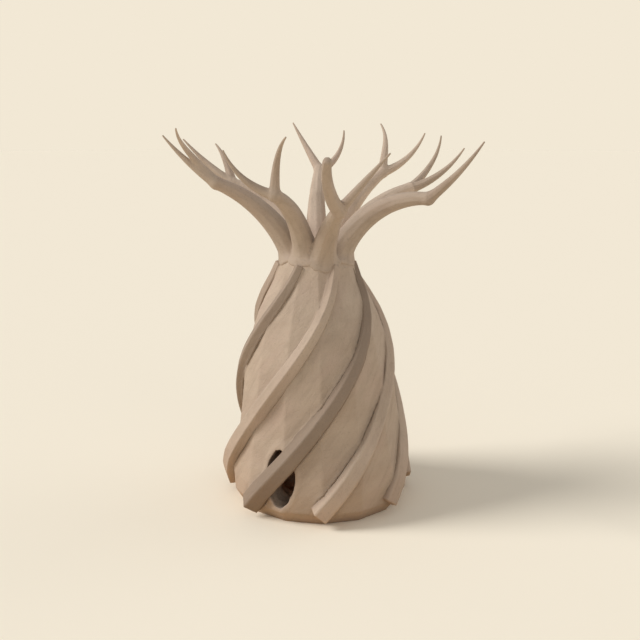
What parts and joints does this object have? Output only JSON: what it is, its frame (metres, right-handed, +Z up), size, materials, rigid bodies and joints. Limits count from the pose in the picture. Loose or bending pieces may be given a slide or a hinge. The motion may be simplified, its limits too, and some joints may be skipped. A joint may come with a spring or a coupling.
{
  "type": "baobab tree",
  "caption": "Leafless baobab with a bottle-shaped trunk, spiral buttress ridges, an oval hollow at the foot and stout boughs forking to bare tips.",
  "frame": {"origin": "middle of the flat cut under the trunk, at ground level", "axes": "+Z up the trunk; -Y towards the front, where the hollow opens; +X to the right seen from the front"},
  "size_m": [11.2819, 10.5811, 14.3136],
  "materials": {
    "trunk_bark": "matt pinkish-grey bark, smooth between shallow folds and pits",
    "ridge_bark": "matt pinkish-grey bark drawn out along the ridge",
    "bough_bark": "matt pinkish-grey bark with fine cross wrinkles",
    "branch_bark": "matt young bark, smoother and a little lighter"
  },
  "bodies": {
    "root": {"trunk": "trunk_bark", "spiral_ridge_1": "ridge_bark", "spiral_ridge_2": "ridge_bark", "spiral_ridge_3": "ridge_bark", "spiral_ridge_4": "ridge_bark", "spiral_ridge_5": "ridge_bark", "spiral_ridge_6": "ridge_bark", "spiral_ridge_7": "ridge_bark", "bough_front": "bough_bark", "bough_front_right": "bough_bark", "bough_right": "bough_bark", "bough_back_right": "bough_bark", "bough_back": "bough_bark", "bough_back_left": "bough_bark", "bough_left": "bough_bark", "bough_front_left": "bough_bark", "branch_front_1": "branch_bark", "branch_front_2": "branch_bark", "branch_front_right_1": "branch_bark", "branch_front_right_2": "branch_bark", "branch_right_1": "branch_bark", "branch_right_2": "branch_bark", "branch_back_right_1": "branch_bark", "branch_back_right_2": "branch_bark", "branch_back_1": "branch_bark", "branch_back_2": "branch_bark", "branch_back_left_1": "branch_bark", "branch_back_left_2": "branch_bark", "branch_left_1": "branch_bark", "branch_left_2": "branch_bark", "branch_front_left_1": "branch_bark", "branch_front_left_2": "branch_bark"}
  },
  "joints": []
}
